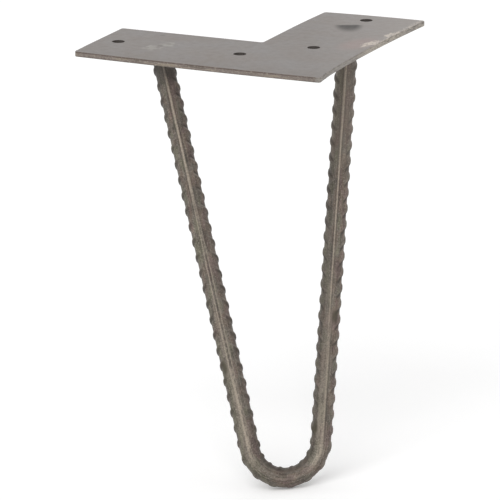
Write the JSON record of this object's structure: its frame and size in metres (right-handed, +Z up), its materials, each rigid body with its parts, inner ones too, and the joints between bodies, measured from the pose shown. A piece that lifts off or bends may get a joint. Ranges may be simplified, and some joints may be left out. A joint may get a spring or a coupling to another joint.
{
  "type": "hairpin table leg",
  "caption": "Leaning hairpin table leg: ribbed steel reinforcing bar bent to a U and welded under an L-shaped mounting plate with screw holes.",
  "frame": {"origin": "on the plate's top face, where the centrelines of its two arms cross", "axes": "+Z up, out of the plate's top face towards the table top; one arm along -X, the other along +Y; the hairpin hangs below"},
  "size_m": [0.1525, 0.1525, 0.2547],
  "materials": {
    "plate_steel": "bare hot-rolled plate with grey mill scale",
    "bar_steel": "bare hot-rolled ribbed bar, brown-grey with thin rust",
    "weld_steel": "dark weld bead, as laid"
  },
  "bodies": {
    "root": {"mounting_plate": "plate_steel", "hairpin_bar": "bar_steel", "left_weld": "weld_steel", "right_weld": "weld_steel"}
  },
  "joints": []
}
